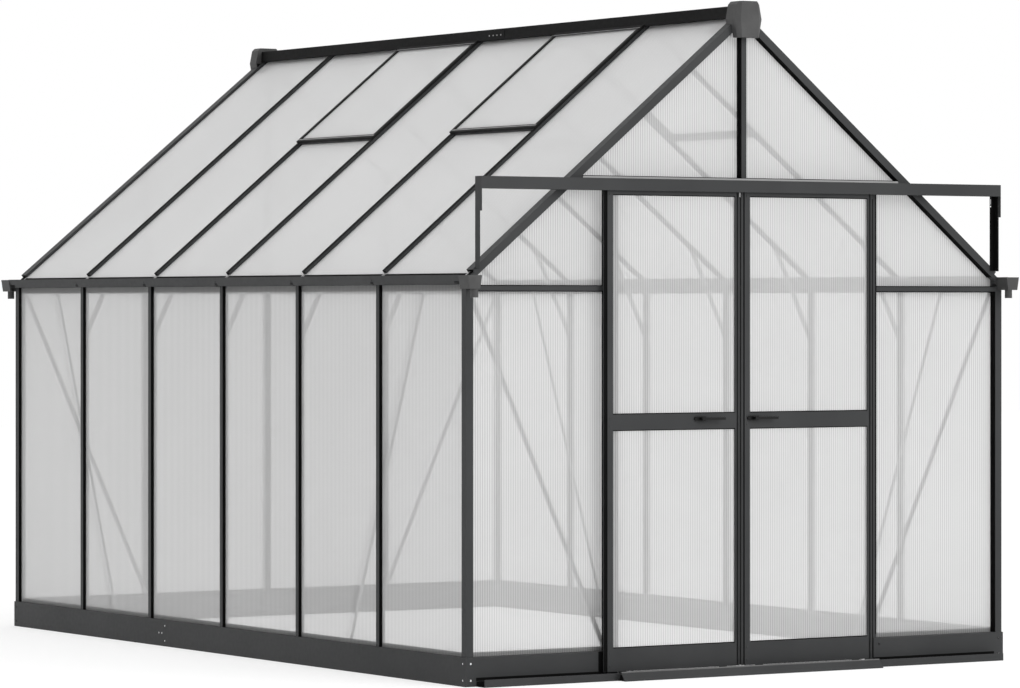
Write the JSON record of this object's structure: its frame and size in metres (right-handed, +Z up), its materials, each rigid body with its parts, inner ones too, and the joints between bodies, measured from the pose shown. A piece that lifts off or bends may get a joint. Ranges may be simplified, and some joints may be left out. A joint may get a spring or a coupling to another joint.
{
  "type": "polycarbonate greenhouse",
  "caption": "Walk-in greenhouse with a dark metal frame, twin-wall sheets, gable roof with vents, side gutters and a pair of sliding doors hung from an outside rail.",
  "frame": {"origin": "middle of the box round the whole greenhouse, at the level of the ground", "axes": "+Z up, +Y from the door gable to the rear gable along the ridge, +X to the right seen from in front of the doors"},
  "size_m": [2.488, 3.831, 2.489],
  "materials": {
    "frame_bars": "satin powder coat, anthracite",
    "ridge_metal": "satin powder coat, near black",
    "moulded_caps": "matt moulded plastic",
    "inner_braces": "galvanised strip",
    "wall_sheets": "translucent twin-wall polycarbonate with upright flutes",
    "door_levers": "smooth black"
  },
  "bodies": {
    "greenhouse": {"base_left": "frame_bars", "base_right": "frame_bars", "base_back": "frame_bars", "base_front_left": "frame_bars", "base_front_right": "frame_bars", "corner_posts": "frame_bars", "left_wall_bars": "frame_bars", "right_wall_bars": "frame_bars", "back_wall_bars": "frame_bars", "door_jambs": "frame_bars", "king_post": "frame_bars", "left_rafters": "frame_bars", "right_rafters": "frame_bars", "front_gable_rafters": "frame_bars", "back_gable_rafters": "frame_bars", "ridge_beam": "ridge_metal", "ridge_end_caps": "moulded_caps", "left_gutter": "frame_bars", "right_gutter": "frame_bars", "gutter_outlets": "moulded_caps", "gable_eave_bars": "frame_bars", "door_header": "frame_bars", "knee_braces": "inner_braces", "wall_braces": "inner_braces", "door_rail": "frame_bars", "rail_end_posts": "frame_bars", "door_track": "frame_bars", "door_threshold": "frame_bars", "roof_vents": "frame_bars", "roof_vent_bars": "frame_bars", "roof_vent_panels": "wall_sheets", "left_wall_panels": "wall_sheets", "right_wall_panels": "wall_sheets", "left_roof_panels": "wall_sheets", "right_roof_panels": "wall_sheets", "back_wall_panels": "wall_sheets", "front_wall_panels": "wall_sheets", "front_gable_panels": "wall_sheets"},
    "left_door": {"left_door_frame": "frame_bars", "left_door_panels": "wall_sheets", "left_door_handle": "door_levers"},
    "right_door": {"right_door_frame": "frame_bars", "right_door_panels": "wall_sheets", "right_door_handle": "door_levers"}
  },
  "joints": [
    {"name": "left_door_slide", "type": "slide", "parent": "greenhouse", "child": "left_door", "axis": [-1, 0, 0], "range_m": [0, 0.525]},
    {"name": "right_door_slide", "type": "slide", "parent": "greenhouse", "child": "right_door", "axis": [1, 0, 0], "range_m": [0, 0.58]}
  ]
}
